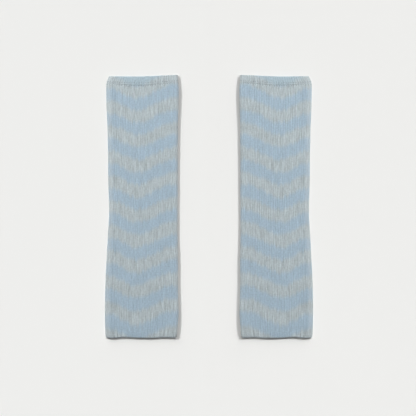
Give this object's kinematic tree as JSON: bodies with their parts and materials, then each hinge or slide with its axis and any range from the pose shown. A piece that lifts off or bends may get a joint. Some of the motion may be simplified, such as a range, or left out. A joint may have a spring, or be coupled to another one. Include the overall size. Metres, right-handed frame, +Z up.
{
  "type": "pair of leg warmers",
  "caption": "Pair of fine-rib knitted leg warmers laid flat side by side, each a pressed tube with a turned hem at the top and soft wavy stripes.",
  "frame": {"origin": "centre of the pair's footprint, on the surface that it rests on", "axes": "+Y along the legs, from the cast-off edge to the turned hem; +X across the pair, to the right when seen from above with the hems away from the viewer; +Z up"},
  "size_m": [0.3188, 0.402, 0.0066],
  "materials": {
    "rib_knit": "soft brushed rib knit in pale blue and pale grey wavy stripes",
    "hem_knit": "the same rib knit, turned under and linked into a hem"
  },
  "bodies": {
    "root": {"leg_left": "rib_knit", "hem_left": "hem_knit", "leg_right": "rib_knit", "hem_right": "hem_knit"}
  },
  "joints": []
}
